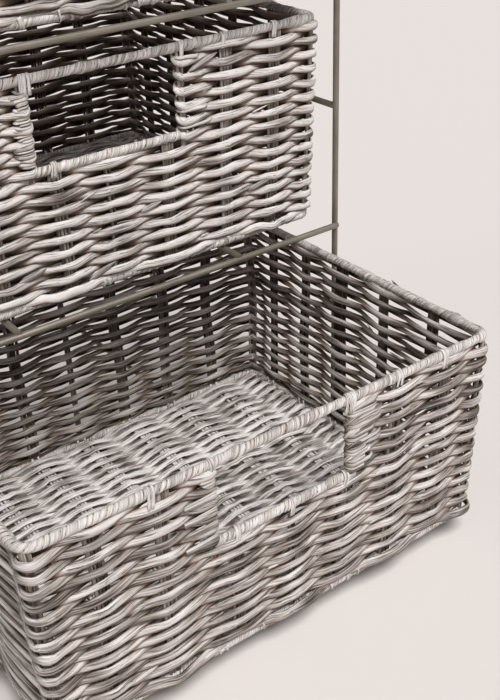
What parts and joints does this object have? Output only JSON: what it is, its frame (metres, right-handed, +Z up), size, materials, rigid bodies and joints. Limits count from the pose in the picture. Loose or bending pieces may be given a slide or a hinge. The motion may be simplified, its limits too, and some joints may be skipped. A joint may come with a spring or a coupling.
{
  "type": "basket drawer tower",
  "caption": "Open rod frame that carries three woven cane baskets, which slide out forwards as drawers and have a hand hole in the front.",
  "frame": {"origin": "on the floor, in the middle of the box round the whole tower with its bottom basket pulled out 202 mm", "axes": "+X to the right, +Y to the back, +Z up; the hand holes face -Y"},
  "size_m": [0.423, 0.5247, 0.6306],
  "materials": {
    "frame_paint": "thin taupe grey paint on steel rod, satin",
    "cap_plastic": "dark moulded plastic",
    "woven_cane": "grey-washed cane strands, dry, with dark streaks of grain and frayed ends",
    "wrapped_cane": "flat grey-washed cane wound edge to edge round a rod"
  },
  "bodies": {
    "frame": {"post_front_left": "frame_paint", "post_front_right": "frame_paint", "post_rear_left": "frame_paint", "post_rear_right": "frame_paint", "foot_caps": "cap_plastic", "bottom_front_bar": "frame_paint", "bottom_rear_bar": "frame_paint", "bottom_runner_left": "frame_paint", "bottom_runner_right": "frame_paint", "middle_front_bar": "frame_paint", "middle_rear_bar": "frame_paint", "middle_runner_left": "frame_paint", "middle_runner_right": "frame_paint", "upper_front_bar": "frame_paint", "upper_rear_bar": "frame_paint", "upper_runner_left": "frame_paint", "upper_runner_right": "frame_paint", "bottom_rail_left": "frame_paint", "bottom_rail_right": "frame_paint", "middle_rail_left": "frame_paint", "middle_rail_right": "frame_paint", "upper_rail_left": "frame_paint", "upper_rail_right": "frame_paint", "top_front_bar": "frame_paint", "top_rear_bar": "frame_paint", "top_left_bar": "frame_paint", "top_right_bar": "frame_paint"},
    "bottom_basket": {"bottom_basket_front": "woven_cane", "bottom_basket_back": "woven_cane", "bottom_basket_left": "woven_cane", "bottom_basket_right": "woven_cane", "bottom_basket_floor": "woven_cane", "bottom_basket_corners": "woven_cane", "bottom_basket_rim": "wrapped_cane", "bottom_basket_foot_rod": "wrapped_cane", "bottom_basket_grip": "wrapped_cane"},
    "middle_basket": {"middle_basket_front": "woven_cane", "middle_basket_back": "woven_cane", "middle_basket_left": "woven_cane", "middle_basket_right": "woven_cane", "middle_basket_floor": "woven_cane", "middle_basket_corners": "woven_cane", "middle_basket_rim": "wrapped_cane", "middle_basket_foot_rod": "wrapped_cane", "middle_basket_grip": "wrapped_cane"},
    "upper_basket": {"upper_basket_front": "woven_cane", "upper_basket_back": "woven_cane", "upper_basket_left": "woven_cane", "upper_basket_right": "woven_cane", "upper_basket_floor": "woven_cane", "upper_basket_corners": "woven_cane", "upper_basket_rim": "wrapped_cane", "upper_basket_foot_rod": "wrapped_cane", "upper_basket_grip": "wrapped_cane"}
  },
  "joints": [
    {"name": "bottom_basket_slide", "type": "slide", "parent": "frame", "child": "bottom_basket", "axis": [0, -1, 0], "range_m": [-0.202, 0.013]},
    {"name": "middle_basket_slide", "type": "slide", "parent": "frame", "child": "middle_basket", "axis": [0, -1, 0], "range_m": [0, 0.215]},
    {"name": "upper_basket_slide", "type": "slide", "parent": "frame", "child": "upper_basket", "axis": [0, -1, 0], "range_m": [0, 0.215]}
  ]
}
